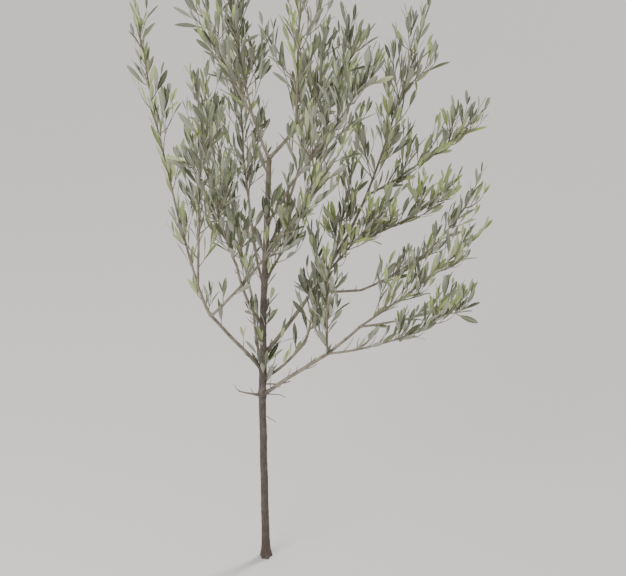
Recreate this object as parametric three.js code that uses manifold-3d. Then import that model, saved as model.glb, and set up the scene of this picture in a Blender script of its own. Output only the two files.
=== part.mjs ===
// A young olive tree that stands rooted in level ground: a slim trunk with a small root flare, boughs
// that leave it low down and sweep up into a vase, and masses of narrow leaves set in opposite pairs.
// Millimetres, +Z up. The origin is the middle of the flat cut at ground level, +X is the side of the
// long low boughs, and -Y is the side seen from the front.
import * as THREE from "three";
import { mergeVertices } from "three/addons/utils/BufferGeometryUtils.js";
import Module from "manifold-3d";

const wasm = await Module();
wasm.setup();

// The trunk: its height to the fork, how far its top leans and its middle bows, and its radii. The flare is
// added at the ground and dies away over flareHeight.
const TRUNK = {
  height: 913,
  lean: 19,
  bow: 5,
  foot: 8.6,
  middle: 7.2,
  fork: 4.8,
  flare: 4.2,
  flareHeight: 22,
  sides: 12,
  steps: 14,
};

// Each bough starts on the trunk at a height, or on another bough at a share of its length. Its tip is a
// place, sweep carries its middle outwards before it rises, and its radius runs from root to end.
const BOUGHS = {
  bough_left_low: { on: "trunk", at: 456, tip: [-100, -55, 601], sweep: 0, root: 3.9, end: 3.2 },
  bough_left_outer: { on: "bough_left_low", at: 1, tip: [-125, -50, 665], sweep: 0.25, root: 3.2, end: 2.8 },
  bough_left_cross: { on: "bough_left_low", at: 1, tip: [-8, -62, 704], sweep: 0.1, root: 2.9, end: 2.6 },
  bough_left_inner: { on: "trunk", at: 448, tip: [-22, 55, 596], sweep: 0.3, root: 3.1, end: 2.6 },
  bough_left_stub: { on: "trunk", at: 398, tip: [-52, -8, 412], sweep: 0.3, root: 2.3, end: 1.5 },
  bough_right_low: { on: "trunk", at: 398, tip: [134, -70, 524], sweep: 0, root: 4.1, end: 3.4 },
  bough_right_skirt: { on: "bough_right_low", at: 1, tip: [200, -62, 580], sweep: 0.1, root: 3, end: 2.7 },
  bough_right_second: { on: "trunk", at: 437, tip: [93, 5, 530], sweep: 0.35, root: 3.2, end: 2.6 },
  bough_right_main: { on: "trunk", at: 490, tip: [166, 98, 700], sweep: 0.12, root: 4.3, end: 3.4 },
  bough_right_side: { on: "bough_right_main", at: 0.6, tip: [205, 42, 620], sweep: 0.2, root: 2.8, end: 2.6 },
  bough_right_top: { on: "bough_right_main", at: 1, tip: [218, 130, 800], sweep: 0.1, root: 3.2, end: 2.9 },
  bough_front: { on: "trunk", at: 560, tip: [-44, -88, 720], sweep: 0.3, root: 3.1, end: 2.6 },
  bough_back: { on: "trunk", at: 640, tip: [-26, 100, 775], sweep: 0.3, root: 3.1, end: 2.6 },
  bough_back_right: { on: "trunk", at: 720, tip: [68, 100, 840], sweep: 0.25, root: 3.1, end: 2.6 },
  bough_front_right: { on: "trunk", at: 780, tip: [65, -62, 880], sweep: 0.1, root: 3, end: 2.6 },
  bough_top_right: { on: "trunk", at: 913, tip: [72, 18, 974], sweep: 0.15, root: 3.6, end: 3 },
  bough_top_left: { on: "trunk", at: 913, tip: [-14, 50, 985], sweep: 0.1, root: 3.3, end: 2.8 },
};

// Each mass of leaves grows on a stem, from a bough's tip or from a height on the trunk, to a place near
// the edge of the crown. It has this many side twigs, and the longest of them is about as long as reach.
const MASSES = {
  leaves_left_outer: { on: "bough_left_outer", tip: [-241, 15, 1285], sweep: 0.22, twigs: 7, reach: 130 },
  leaves_left_second: { on: "bough_left_outer", tip: [-84, -150, 1110], sweep: -0.25, twigs: 6, reach: 130 },
  leaves_left_cross: { on: "bough_left_cross", tip: [172, -130, 985], sweep: 0.08, twigs: 5, reach: 110 },
  leaves_left_inner: { on: "bough_left_inner", tip: [-112, 165, 1000], sweep: 0.05, twigs: 6, reach: 130 },
  leaves_right_low: { on: "bough_right_low", tip: [405, -140, 684], sweep: 0.45, twigs: 6, reach: 105 },
  leaves_right_skirt: { on: "bough_right_skirt", tip: [400, -60, 648], sweep: 0.5, twigs: 4, reach: 80 },
  leaves_right_mid: { on: "bough_right_skirt", tip: [448, 0, 764], sweep: 0.1, twigs: 5, reach: 105 },
  leaves_right_inner: { on: "bough_right_second", tip: [118, 10, 790], sweep: 0.5, twigs: 5, reach: 85 },
  leaves_right_outer: { on: "bough_right_side", tip: [446, 50, 868], sweep: 0.45, twigs: 6, reach: 110 },
  leaves_right_rise: { on: "bough_right_low", tip: [132, -82, 742], sweep: -0.1, twigs: 4, reach: 70 },
  leaves_right_brush: { on: "bough_right_main", at: 0.7, tip: [276, -30, 852], sweep: 0, twigs: 5, reach: 90 },
  leaves_right_heart: { on: "trunk", at: 655, tip: [131, -10, 955], sweep: 0.2, twigs: 5, reach: 95 },
  leaves_right_nest: { on: "bough_right_main", at: 0.9, tip: [192, 35, 930], sweep: 0, twigs: 4, reach: 85 },
  leaves_right_upper: { on: "bough_right_main", tip: [398, 60, 852], sweep: 0.3, twigs: 5, reach: 115 },
  leaves_right_top: { on: "bough_right_top", tip: [468, 200, 970], sweep: 0.2, twigs: 6, reach: 120 },
  leaves_right_main: { on: "bough_right_top", tip: [338, 165, 1185], sweep: 0.1, twigs: 6, reach: 135 },
  leaves_front: { on: "bough_front", tip: [-95, -215, 1060], sweep: 0.3, twigs: 6, reach: 130 },
  leaves_back: { on: "bough_back", tip: [-55, 245, 1130], sweep: 0.4, twigs: 6, reach: 140 },
  leaves_back_right: { on: "bough_back_right", tip: [135, 255, 1130], sweep: 0.3, twigs: 6, reach: 135 },
  leaves_front_right: { on: "bough_front_right", tip: [221, -155, 1135], sweep: 0.1, twigs: 6, reach: 115 },
  leaves_top_right: { on: "bough_top_right", tip: [209, 70, 1140], sweep: 0.1, twigs: 5, reach: 110 },
  leaves_leader: { on: "bough_top_right", tip: [93, -10, 1380], sweep: -0.2, twigs: 7, reach: 135 },
  leaves_top_left: { on: "bough_top_left", tip: [-128, 110, 1215], sweep: 0.1, twigs: 5, reach: 110 },
  leaves_top_mid: { on: "bough_top_left", tip: [-58, 75, 1315], sweep: 0.35, twigs: 6, reach: 120 },
};

const BOUGH_FORM = { sides: 6, steps: 4 };
const STEM = { root: 3.3, end: 1.8, sides: 3, steps: 6 };

// Side twigs start between two shares of a stem, lean away from it and turn up, each a golden turn round
// from the last. They shorten towards the stem's tip by taper. A spread is how much a size varies, as a
// share of it or in degrees, and stagger is how far a twig may stand up its own share of the stem.
const TWIG = {
  root: 1.6,
  end: 1.2,
  sides: 3,
  steps: 2,
  from: 0.06,
  to: 0.86,
  stagger: 0.6,
  lean: 40,
  leanSpread: 0.4,
  turnSpread: 30,
  sizeSpread: 0.5,
  lift: 0.6,
  taper: 0.55,
};

// Leaves stand in opposite pairs, each pair a quarter turn round from the last, well away from the shoot
// at its foot and close to it at its tip, where they are shorter. A leaf's root is sunk to the middle of
// its shoot, and the last pair's is this far below the shoot's tip. Its place is tested from a share of
// its length to its tip.
const LEAF = {
  gap: 60,
  length: 70,
  lengthSpread: 0.3,
  tipShrink: 0.25,
  tipShrinkPower: 4,
  width: 17,
  thick: 1.7,
  widestAt: 0.44,
  thickestAt: 0.14,
  openAtFoot: 52,
  openAtTip: 28,
  openSpread: 0.5,
  turnSpread: 50,
  rollSpread: 70,
  lift: 0.4,
  onStemFrom: 0.1,
  onTwigFrom: 0.32,
  belowTip: 4,
  tests: 7,
  testedFrom: 0.15,
};

// Turns, in degrees.
const GOLDEN_TURN = 137.5;
const QUARTER_TURN = 90;
const HALF_TURN = 180;
const FULL_TURN = 360;

// What is drawn by chance for each twig and leaf, how many keys each of them takes, where the leaves'
// keys start, and how far apart the seeds of two masses' twigs are.
const DRAW = { phase: 0, place: 1, turn: 2, lean: 3, size: 4, roll: 5 };
const KEYS_EACH = 10;
const LEAF_KEYS = 1000;
const SEEDS_EACH = 31;
const HASH = { seed: 12.9898, key: 78.233, scale: 43758.5453 };

// How many stretches a line is sampled by when distances to it are measured, and how far apart two
// corners of a mesh may lie and still be joined.
const SAMPLES = { trunk: 40, limb: 16, twig: 8 };
const MERGE_WITHIN = 1e-4;

// Clearances: between pieces that meet, from a leaf to a limb, from the edge of a mass's own space, and
// between leaves of one mass. A piece is cut clear of whatever passes within SEAT_RANGE of its foot.
const SEAT_GAP = 0.3;
const SEAT_RANGE = 12;
const LIMB_CLEARANCE = 4;
const SPACE_MARGIN = 2;
const LEAF_SPACING = 6;

const UP = new THREE.Vector3(0, 0, 1);
const SIDE_REFERENCE = new THREE.Vector3(0, 1, 0);
const degrees = THREE.MathUtils.degToRad;
const mix = THREE.MathUtils.lerp;

// A repeatable number from 0 to 1 for a seed and a key.
function chance(seed, key) {
  const wave = Math.sin(seed * HASH.seed + key * HASH.key) * HASH.scale;
  return wave - Math.floor(wave);
}

// A draw turned into a value about the middle one: spread is the whole range, and varied takes it as a
// share.
function about(middle, spread, draw) {
  return middle + spread * (draw - 0.5);
}

function varied(size, spread, draw) {
  return size * about(1, spread, draw);
}

// The trunk's centre line, from the ground to the fork. It leaves the ground upright, so the cut there is
// flat and level.
class TrunkLine extends THREE.Curve {
  getPoint(t, target = new THREE.Vector3()) {
    const x = TRUNK.lean * t ** 2 - TRUNK.bow * Math.sin(Math.PI * t) ** 2;
    return target.set(x, 0, TRUNK.height * t);
  }

  getTangent(t, target = new THREE.Vector3()) {
    const slope = 2 * TRUNK.lean * t - TRUNK.bow * Math.PI * Math.sin(2 * Math.PI * t);
    return target.set(slope, 0, TRUNK.height).normalize();
  }
}

function trunkRadius(t) {
  const lower = mix(TRUNK.foot, TRUNK.middle, t * 2);
  const upper = mix(TRUNK.middle, TRUNK.fork, t * 2 - 1);
  return (t < 0.5 ? lower : upper) + TRUNK.flare * Math.exp((-TRUNK.height * t) / TRUNK.flareHeight);
}

// A centre line from root to tip. Sweep carries its middle outwards before it rises.
function sweptLine(root, tip, sweep) {
  const span = tip.clone().sub(root);
  const out = (1 + sweep) / 2;
  const rise = (1 - sweep) / 2;
  const middle = root.clone().add(new THREE.Vector3(span.x * out, span.y * out, span.z * rise));
  return new THREE.QuadraticBezierCurve3(root, middle, tip);
}

// Two directions square to a heading and to each other.
function across(heading) {
  const first = heading.clone().cross(SIDE_REFERENCE).normalize();
  return [first, heading.clone().cross(first)];
}

// The direction square to a heading, at a turn round it.
function outwardAt(heading, turn) {
  const [first, second] = across(heading);
  return first.multiplyScalar(Math.cos(turn)).addScaledVector(second, Math.sin(turn));
}

// A heading that leans by an angle towards an outward direction.
function leaned(heading, outward, angle) {
  return heading.clone().multiplyScalar(Math.cos(angle)).addScaledVector(outward, Math.sin(angle));
}

function toSolid(geometry) {
  geometry.deleteAttribute("normal");
  geometry.deleteAttribute("uv");
  const merged = mergeVertices(geometry, MERGE_WITHIN);
  const corners = merged.index.array;
  const kept = [];
  for (let i = 0; i < corners.length; i += 3) {
    const [a, b, c] = corners.subarray(i, i + 3);
    if (a !== b && b !== c && c !== a) kept.push(a, b, c);
  }
  const vertProperties = merged.attributes.position.array;
  return new wasm.Manifold(new wasm.Mesh({ numProp: 3, vertProperties, triVerts: new Uint32Array(kept) }));
}

function toGeometry(solid) {
  const { numProp, numVert, vertProperties, triVerts } = solid.getMesh();
  const positions = new Float32Array(numVert * 3);
  for (let i = 0; i < numVert; i++) {
    positions.set(vertProperties.subarray(i * numProp, i * numProp + 3), i * 3);
  }
  const geometry = new THREE.BufferGeometry();
  geometry.setAttribute("position", new THREE.BufferAttribute(positions, 3));
  geometry.setIndex(new THREE.BufferAttribute(triVerts, 1));
  return geometry;
}

// A tapered limb: a prism bent along its line and drawn to the radius at each step. It may start a share
// of the way along, and grow makes it thicker all round and longer at both ends.
function limbSolid({ line, radiusAt, sides, steps }, { from = 0, grow = 0 } = {}) {
  const corners = Array.from({ length: sides }, (_, i) => {
    const angle = (2 * Math.PI * i) / sides;
    return new THREE.Vector2(Math.cos(angle), Math.sin(angle));
  });
  const section = new THREE.Shape(corners);
  const prism = new THREE.ExtrudeGeometry(section, { depth: 1, steps, bevelEnabled: false });
  const place = prism.attributes.position;
  for (let i = 0; i < place.count; i++) {
    const share = place.getZ(i);
    const t = mix(from, 1, share);
    const heading = line.getTangent(t);
    const [first, second] = across(heading);
    const radius = radiusAt(t) + grow / Math.cos(Math.PI / sides);
    const overrun = share === 0 ? -grow : share === 1 ? grow : 0;
    const point = line
      .getPoint(t)
      .addScaledVector(heading, overrun)
      .addScaledVector(first, place.getX(i) * radius)
      .addScaledVector(second, place.getY(i) * radius);
    place.setXYZ(i, point.x, point.y, point.z);
  }
  return toSolid(prism);
}

// The point at a share of a limb's line, on the straight stretch between two of its steps.
function pointOn(line, steps, t) {
  const step = Math.min(Math.floor(t * steps), steps - 1);
  return line.getPoint(step / steps).lerp(line.getPoint((step + 1) / steps), t * steps - step);
}

// The distance from a point to a line that is held as a row of samples.
function distanceTo(samples, point) {
  const piece = new THREE.Line3();
  const foot = new THREE.Vector3();
  let least = Infinity;
  for (let i = 1; i < samples.length; i++) {
    piece.set(samples[i - 1], samples[i]).closestPointToPoint(point, true, foot);
    least = Math.min(least, foot.distanceTo(point));
  }
  return least;
}

// The place on a limb where another starts: a height on the trunk, or a share of a bough.
function startOn(limbs, on, at) {
  return limbs.get(on).line.getPoint(on === "trunk" ? at / TRUNK.height : at);
}

// The trunk and the boughs, each with its line, its samples and its radius.
function planLimbs() {
  const limbs = new Map();
  const trunk = new TrunkLine();
  limbs.set("trunk", {
    line: trunk,
    samples: trunk.getPoints(SAMPLES.trunk),
    radiusAt: trunkRadius,
    sides: TRUNK.sides,
    steps: TRUNK.steps,
  });
  for (const [name, { on, at, tip, sweep, root, end }] of Object.entries(BOUGHS)) {
    const line = sweptLine(startOn(limbs, on, at), new THREE.Vector3(...tip), sweep);
    const samples = line.getPoints(SAMPLES.limb);
    limbs.set(name, { line, samples, radiusAt: (t) => mix(root, end, t), ...BOUGH_FORM });
  }
  return limbs;
}

// The stem of each mass, on from its bough's tip or out of the trunk.
function planStems(limbs) {
  const stems = new Map();
  for (const [name, { on, at = 1, tip, sweep }] of Object.entries(MASSES)) {
    const line = sweptLine(startOn(limbs, on, at), new THREE.Vector3(...tip), sweep);
    const samples = line.getPoints(SAMPLES.limb);
    const radiusAt = (t) => mix(STEM.root, STEM.end, t);
    stems.set(name, { line, samples, radiusAt, sides: STEM.sides, steps: STEM.steps });
  }
  return stems;
}

const limbs = planLimbs();
const stems = planStems(limbs);

// True where a point lies in a mass's own space: nearer to its stem than to any other, and clear of every
// limb.
function inOwnSpace(name, point) {
  const own = distanceTo(stems.get(name).samples, point);
  for (const [other, { samples }] of stems) {
    if (other !== name && distanceTo(samples, point) < own + SPACE_MARGIN) return false;
  }
  for (const { samples, radiusAt } of limbs.values()) {
    if (distanceTo(samples, point) < radiusAt(0) + LIMB_CLEARANCE) return false;
  }
  return true;
}

// The side twigs of a stem, each as a curve. One that would point down points up instead.
function twigLines(seed, stem, count, reach) {
  return Array.from({ length: count }, (_, k) => {
    const draw = (what) => chance(seed, KEYS_EACH * k + what);
    const t = mix(TWIG.from, TWIG.to, (k + TWIG.stagger * draw(DRAW.place)) / count);
    const phase = FULL_TURN * chance(seed, DRAW.phase);
    const turn = about(GOLDEN_TURN * k + phase, TWIG.turnSpread, draw(DRAW.turn));
    const lean = varied(TWIG.lean, TWIG.leanSpread, draw(DRAW.lean));
    const size = varied(reach * (1 - TWIG.taper * t), TWIG.sizeSpread, draw(DRAW.size));
    const heading = stem.getTangent(t);
    const out = leaned(heading, outwardAt(heading, degrees(turn)), degrees(lean));
    out.z = Math.abs(out.z);
    const root = pointOn(stem, STEM.steps, t);
    const middle = root.clone().addScaledVector(out, size / 2);
    const tip = root
      .clone()
      .addScaledVector(out, size * (1 - TWIG.lift / 2))
      .addScaledVector(UP, (size * TWIG.lift) / 2);
    return new THREE.QuadraticBezierCurve3(root, middle, tip);
  });
}

// The leaves of a shoot, each with its root, the direction that it points, the direction across its
// blade, its length and half its width.
function leavesOf({ line, steps, seed, from }) {
  const last = 1 - LEAF.belowTip / line.getLength();
  const pairs = Math.max(1, Math.floor(((last - from) * line.getLength()) / LEAF.gap));
  const phase = FULL_TURN * chance(seed, LEAF_KEYS + DRAW.phase);
  const found = [];
  for (let j = 0; j <= pairs; j++) {
    const t = mix(from, last, j / pairs);
    const heading = line.getTangent(t);
    const shrunk = 1 - LEAF.tipShrink * t ** LEAF.tipShrinkPower;
    for (const side of [0, 1]) {
      const draw = (what) => chance(seed, LEAF_KEYS + KEYS_EACH * (2 * j + side) + what);
      const even = QUARTER_TURN * (j % 2) + HALF_TURN * side + phase;
      const turn = about(even, LEAF.turnSpread, draw(DRAW.turn));
      const open = varied(mix(LEAF.openAtFoot, LEAF.openAtTip, t), LEAF.openSpread, draw(DRAW.lean));
      const outward = outwardAt(heading, degrees(turn));
      const along = leaned(heading, outward, degrees(open)).addScaledVector(UP, LEAF.lift).normalize();
      const wide = heading.clone().cross(outward).projectOnPlane(along).normalize();
      wide.applyAxisAngle(along, degrees(about(0, LEAF.rollSpread, draw(DRAW.roll))));
      const length = varied(LEAF.length * shrunk, LEAF.lengthSpread, draw(DRAW.size));
      const half = (LEAF.width / 2) * (length / LEAF.length);
      found.push({ root: pointOn(line, steps, t), along, wide, length, half });
    }
  }
  return found;
}

// A leaf is an octahedron drawn out to a blade: root, tip, two sides, and the midrib above and below.
function leafSolid({ root, along, wide, length, half }) {
  const blade = new THREE.OctahedronGeometry(1);
  const above = along.clone().cross(wide);
  const place = blade.attributes.position;
  for (let i = 0; i < place.count; i++) {
    const [x, y, z] = [place.getX(i), place.getY(i), place.getZ(i)].map(Math.round);
    const middle = length * (x === 0 ? LEAF.thickestAt : LEAF.widestAt);
    const reached = [0, middle, length][z + 1];
    const point = root
      .clone()
      .addScaledVector(along, reached)
      .addScaledVector(wide, x * half)
      .addScaledVector(above, (y * LEAF.thick) / 2);
    place.setXYZ(i, point.x, point.y, point.z);
  }
  return toSolid(blade);
}

// Points that stand for a leaf when its place is tested: a row along it, and its two sides.
function leafPoints({ root, along, wide, length, half }) {
  const at = (share) => root.clone().addScaledVector(along, length * share);
  const row = Array.from({ length: LEAF.tests }, (_, i) => at(mix(LEAF.testedFrom, 1, i / (LEAF.tests - 1))));
  const sides = [-half, half].map((offset) => at(LEAF.widestAt).addScaledVector(wide, offset));
  return [...row, ...sides];
}

// What is left of a solid once its loose scraps are dropped.
function largestPiece(solid) {
  return solid.decompose().reduce((best, piece) => (piece.volume() > best.volume() ? piece : best));
}

// The limb without its foot, so that its start clears what it grows on.
function footless(plan) {
  return limbSolid(plan, { from: SEAT_GAP / plan.line.getLength() });
}

// The solid cut clear of those plans that pass near the foot of its own.
function seated(solid, plan, others) {
  const foot = plan.line.getPoint(0);
  let cut = solid;
  for (const other of others) {
    if (distanceTo(other.samples, foot) > SEAT_RANGE) continue;
    cut = cut.subtract(limbSolid(other, { grow: SEAT_GAP }));
  }
  return largestPiece(cut);
}

// The twigs of a mass that keep to its own space.
function ownTwigs(name, seed) {
  const { twigs, reach } = MASSES[name];
  const lines = twigLines(seed, stems.get(name).line, twigs, reach);
  return lines
    .map((line, k) => ({ line, steps: TWIG.steps, seed: seed * SEEDS_EACH + k, from: LEAF.onTwigFrom }))
    .filter(({ line }) => line.getPoints(SAMPLES.twig).slice(1).every((point) => inOwnSpace(name, point)));
}

// The leaves of a mass that keep to its own space and clear of each other.
function ownLeaves(name, shoots) {
  const taken = [];
  const kept = [];
  for (const shoot of shoots) {
    for (const leaf of leavesOf(shoot)) {
      const points = leafPoints(leaf);
      const crowded = points.some((point) => taken.some((other) => other.distanceTo(point) < LEAF_SPACING));
      if (crowded || !points.every((point) => inOwnSpace(name, point))) continue;
      taken.push(...points);
      kept.push(leaf);
    }
  }
  return kept;
}

// One mass: its stem, twigs and leaves joined, and cut clear of the limbs and the earlier stems at its
// foot.
function massSolid(name, seed, earlier) {
  const stem = stems.get(name);
  const twigs = ownTwigs(name, seed);
  const main = { line: stem.line, steps: STEM.steps, seed, from: LEAF.onStemFrom };
  const radiusAt = (t) => mix(TWIG.root, TWIG.end, t);
  let solid = footless(stem);
  for (const { line, steps } of twigs) {
    solid = solid.add(limbSolid({ line, radiusAt, sides: TWIG.sides, steps }));
  }
  for (const leaf of ownLeaves(name, [main, ...twigs])) {
    solid = solid.add(leafSolid(leaf));
  }
  return seated(solid, stem, [...limbs.values(), ...earlier]);
}

const bark = new THREE.MeshStandardMaterial({ color: 0x7b7064, roughness: 0.85, metalness: 0 });
const youngBark = new THREE.MeshStandardMaterial({ color: 0x938b78, roughness: 0.75, metalness: 0 });
const foliage = new THREE.MeshStandardMaterial({ color: 0x7f8f63, roughness: 0.6, metalness: 0 });

const tree = new THREE.Group();
tree.name = "young_olive_tree";

function addNode(name, solid, material) {
  const mesh = new THREE.Mesh(toGeometry(solid), material);
  mesh.name = name;
  tree.add(mesh);
}

// The trunk and the boughs, each cut clear of the limbs that stand before it.
const standing = [];
for (const [name, plan] of limbs) {
  const solid = name === "trunk" ? limbSolid(plan) : seated(footless(plan), plan, standing);
  addNode(name, solid, name === "trunk" ? bark : youngBark);
  standing.push(plan);
}

// The masses of leaves.
const earlier = [];
for (const [name, stem] of stems) {
  addNode(name, massSolid(name, earlier.length + 1, earlier), foliage);
  earlier.push(stem);
}

export default tree;
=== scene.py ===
"""A young olive tree: a trunk and boughs with bark, and shoots with leaves in opposite pairs."""
import math
from collections import namedtuple

import bmesh
import bpy
import numpy as np
from bpy.props import FloatProperty, FloatVectorProperty, IntProperty, PointerProperty
from mathutils import Matrix, Vector, noise


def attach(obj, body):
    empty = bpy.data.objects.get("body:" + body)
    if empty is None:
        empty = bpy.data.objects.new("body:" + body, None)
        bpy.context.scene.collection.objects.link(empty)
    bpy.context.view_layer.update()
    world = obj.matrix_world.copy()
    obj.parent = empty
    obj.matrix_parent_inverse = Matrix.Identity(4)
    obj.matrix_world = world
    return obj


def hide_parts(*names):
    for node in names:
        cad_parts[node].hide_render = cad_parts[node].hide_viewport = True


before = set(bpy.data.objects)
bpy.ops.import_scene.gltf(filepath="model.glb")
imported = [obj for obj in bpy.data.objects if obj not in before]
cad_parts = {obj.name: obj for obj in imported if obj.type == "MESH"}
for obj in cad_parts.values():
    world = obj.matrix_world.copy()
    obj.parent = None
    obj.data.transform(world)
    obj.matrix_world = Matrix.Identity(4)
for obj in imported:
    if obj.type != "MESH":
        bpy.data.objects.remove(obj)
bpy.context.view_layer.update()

bl_info = {
    "name": "Young Olive Tree",
    "version": (1, 0, 0),
    "blender": (4, 5, 0),
    "location": "View3D > Sidebar > Olive",
    "description": "Grows a young olive tree on its trunk and boughs",
    "category": "Add Mesh",
}

BODY = "root"
UP = Vector((0, 0, 1))
SIDE_REFERENCE = Vector((0, 1, 0))

# The trunk's centre line and radii, in metres, from the ground to the fork.
TRUNK_HEIGHT = 0.913
TRUNK_LEAN = 0.019
TRUNK_BOW = 0.005
TRUNK_FOOT = 0.0086
TRUNK_MIDDLE = 0.0072
TRUNK_FORK = 0.0048
TRUNK_FLARE = 0.0042
FLARE_HEIGHT = 0.022

# Each bough starts on the trunk at a height, or on another bough at a share of its length. Sweep
# carries its middle outwards before it rises, and its radius runs from root to end.
Bough = namedtuple("Bough", "on at tip sweep root end")
BOUGHS = {
    "left_low": Bough("trunk", 0.456, (-0.100, -0.055, 0.601), 0, 0.0039, 0.0032),
    "left_outer": Bough("left_low", 1, (-0.125, -0.050, 0.665), 0.25, 0.0032, 0.0028),
    "left_cross": Bough("left_low", 1, (-0.008, -0.062, 0.704), 0.1, 0.0029, 0.0026),
    "left_inner": Bough("trunk", 0.448, (-0.022, 0.055, 0.596), 0.3, 0.0031, 0.0026),
    "left_stub": Bough("trunk", 0.398, (-0.052, -0.008, 0.412), 0.3, 0.0023, 0.0015),
    "right_low": Bough("trunk", 0.398, (0.134, -0.070, 0.524), 0, 0.0041, 0.0034),
    "right_skirt": Bough("right_low", 1, (0.200, -0.062, 0.580), 0.1, 0.003, 0.0027),
    "right_second": Bough("trunk", 0.437, (0.093, 0.005, 0.530), 0.35, 0.0032, 0.0026),
    "right_main": Bough("trunk", 0.490, (0.166, 0.098, 0.700), 0.12, 0.0043, 0.0034),
    "right_side": Bough("right_main", 0.6, (0.205, 0.042, 0.620), 0.2, 0.0028, 0.0026),
    "right_top": Bough("right_main", 1, (0.218, 0.130, 0.800), 0.1, 0.0032, 0.0029),
    "front": Bough("trunk", 0.560, (-0.044, -0.088, 0.720), 0.3, 0.0031, 0.0026),
    "back": Bough("trunk", 0.640, (-0.026, 0.100, 0.775), 0.3, 0.0031, 0.0026),
    "back_right": Bough("trunk", 0.720, (0.068, 0.100, 0.840), 0.25, 0.0031, 0.0026),
    "front_right": Bough("trunk", 0.780, (0.065, -0.062, 0.880), 0.1, 0.003, 0.0026),
    "top_right": Bough("trunk", 0.913, (0.072, 0.018, 0.974), 0.15, 0.0036, 0.003),
    "top_left": Bough("trunk", 0.913, (-0.014, 0.050, 0.985), 0.1, 0.0033, 0.0028),
}

# Each mass of leaves grows on a stem, from a place on a limb to one near the crown's edge. It has
# this many side twigs, about as long as reach, and this share of its sprays are fresh.
Mass = namedtuple("Mass", "on at tip sweep twigs reach fresh")
MASSES = {
    "left_outer": Mass("left_outer", 1, (-0.241, 0.015, 1.285), 0.22, 7, 0.105, 0.25),
    "left_second": Mass("left_outer", 1, (-0.084, -0.150, 1.110), -0.25, 6, 0.115, 0.15),
    "left_cross": Mass("left_cross", 1, (0.172, -0.130, 0.985), 0.08, 5, 0.110, 0.1),
    "left_inner": Mass("left_inner", 1, (-0.112, 0.165, 1.000), 0.05, 6, 0.130, 0.1),
    "right_low": Mass("right_low", 1, (0.405, -0.140, 0.684), 0.45, 6, 0.105, 0.2),
    "right_skirt": Mass("right_skirt", 1, (0.400, -0.060, 0.648), 0.5, 4, 0.080, 0.1),
    "right_mid": Mass("right_skirt", 1, (0.448, 0.000, 0.764), 0.1, 5, 0.105, 0.15),
    "right_inner": Mass("right_second", 1, (0.118, 0.010, 0.790), 0.5, 5, 0.085, 0),
    "right_outer": Mass("right_side", 1, (0.446, 0.050, 0.868), 0.45, 6, 0.110, 0.15),
    "right_rise": Mass("right_low", 1, (0.132, -0.082, 0.742), -0.1, 4, 0.070, 0),
    "right_brush": Mass("right_main", 0.7, (0.276, -0.030, 0.852), 0, 5, 0.090, 0.6),
    "right_heart": Mass("trunk", 0.655, (0.131, -0.010, 0.955), 0.2, 5, 0.095, 0.1),
    "right_nest": Mass("right_main", 0.9, (0.192, 0.035, 0.930), 0, 4, 0.085, 0.2),
    "right_upper": Mass("right_main", 1, (0.398, 0.060, 0.852), 0.3, 5, 0.115, 0.8),
    "right_top": Mass("right_top", 1, (0.468, 0.200, 0.970), 0.2, 6, 0.120, 0.5),
    "right_main": Mass("right_top", 1, (0.338, 0.165, 1.185), 0.1, 6, 0.135, 0.2),
    "front": Mass("front", 1, (-0.095, -0.215, 1.060), 0.3, 6, 0.130, 0.15),
    "back": Mass("back", 1, (-0.055, 0.245, 1.130), 0.4, 6, 0.140, 0.15),
    "back_right": Mass("back_right", 1, (0.135, 0.255, 1.130), 0.3, 6, 0.135, 0.15),
    "front_right": Mass("front_right", 1, (0.221, -0.155, 1.135), 0.1, 6, 0.115, 0.15),
    "top_right": Mass("top_right", 1, (0.209, 0.070, 1.140), 0.1, 5, 0.110, 0.15),
    "leader": Mass("top_right", 1, (0.093, -0.010, 1.380), -0.2, 7, 0.135, 0.2),
    "top_left": Mass("top_left", 1, (-0.128, 0.110, 1.215), 0.1, 5, 0.110, 0.15),
    "top_mid": Mass("top_left", 1, (-0.058, 0.075, 1.315), 0.35, 6, 0.120, 0.15),
}

# Side twigs start between two shares of a stem, lean away from it and turn up, each a golden turn
# round from the last. A spread is how much a value varies, as a share of it or in degrees.
TWIG_FROM = 0.06
TWIG_TO = 0.86
TWIG_STAGGER = 0.6
TWIG_LEAN = (40, 0.4)
TWIG_TURN_SPREAD = 30
TWIG_SIZE_SPREAD = 0.5
TWIG_LIFT = 0.6
TWIG_TAPER = 0.55
GOLDEN_TURN = 137.5
QUARTER_TURN, HALF_TURN, FULL_TURN = 90, 180, 360

# Leaves stand in opposite pairs, wide open at a shoot's foot, closer to it and shorter at its tip.
# Each is seated at a share of the shoot's radius, so that its stalk starts inside it.
LEAF_LENGTH_SPREAD = 0.42
LEAF_TIP_SHRINK = 0.4
LEAF_TIP_SHRINK_POWER = 4
LEAF_OPEN = (38, 18)
LEAF_OPEN_SPREAD = 0.5
LEAF_TURN_SPREAD = 50
LEAF_ROLL_SPREAD = 70
LEAF_LIFT = 0.5
LEAF_SEAT = 0.7

# The share of the leaves that has fallen, at a shoot's foot and at its tip.
FALLEN = (0.5, 0.04)

# Beyond this share of a shoot, this share of its leaves are a shade lighter.
YOUNG_FROM = 0.6
YOUNG_SHARE = 0.5

# What is drawn for each twig and leaf, and how the draws are numbered.
PHASE, PLACE, TURN, LEAN, SIZE, ROLL, FORM, SHADE, FALL = range(9)
KEYS_EACH = 10
LEAF_KEYS = 1000
SEEDS_EACH = 31
HASH_SEED = 12.9898
HASH_KEY = 78.233
HASH_SCALE = 43758.5453

# Below this height, a mass grows no twig on the side away from the trunk.
BARE_OUTSIDE = {"left_outer": 1.0}

# A twig that leaves its mass's own space is cut back to the first of these shares that fits.
CUT_BACK = (1, 0.8, 0.6, 0.4)

# Added to a mass's seed for the finer twigs on its stem.
FINER_SEED = 0.5

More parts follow.
